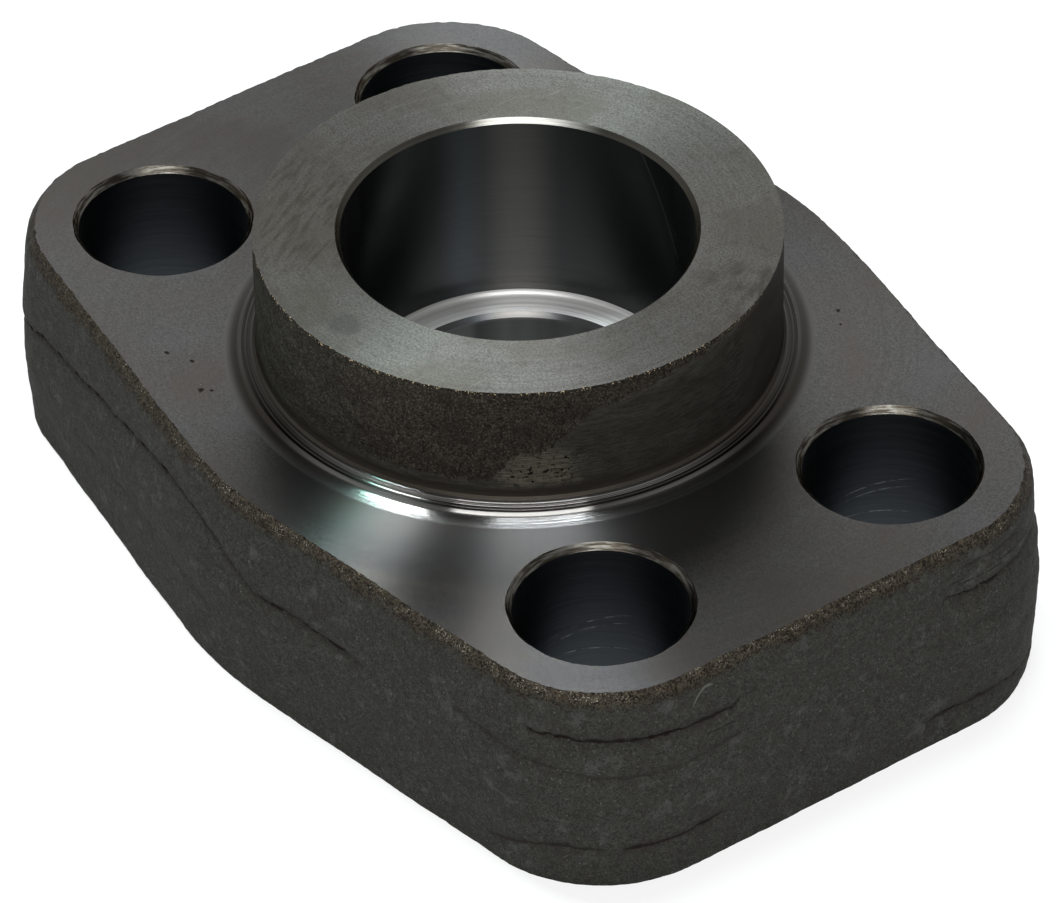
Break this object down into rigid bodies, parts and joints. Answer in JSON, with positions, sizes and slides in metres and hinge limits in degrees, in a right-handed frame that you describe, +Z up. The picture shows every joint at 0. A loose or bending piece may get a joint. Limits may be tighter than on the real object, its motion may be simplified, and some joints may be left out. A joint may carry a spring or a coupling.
{
  "type": "sae flange",
  "caption": "Forged steel socket weld pipe flange with a raised round hub, a stepped bore and corner bolt holes for a hydraulic port.",
  "frame": {"origin": "centre of the bore on the flat sealing face, on which the flange rests", "axes": "+X along the longer bolt spacing, +Y along the shorter bolt spacing, +Z up the bore towards the pipe"},
  "size_m": [0.0668, 0.0482, 0.024],
  "materials": {
    "forged_steel": "forged, shot blasted grey sides with turned bright faces"
  },
  "bodies": {
    "root": {"flange_body": "forged_steel"}
  },
  "joints": []
}
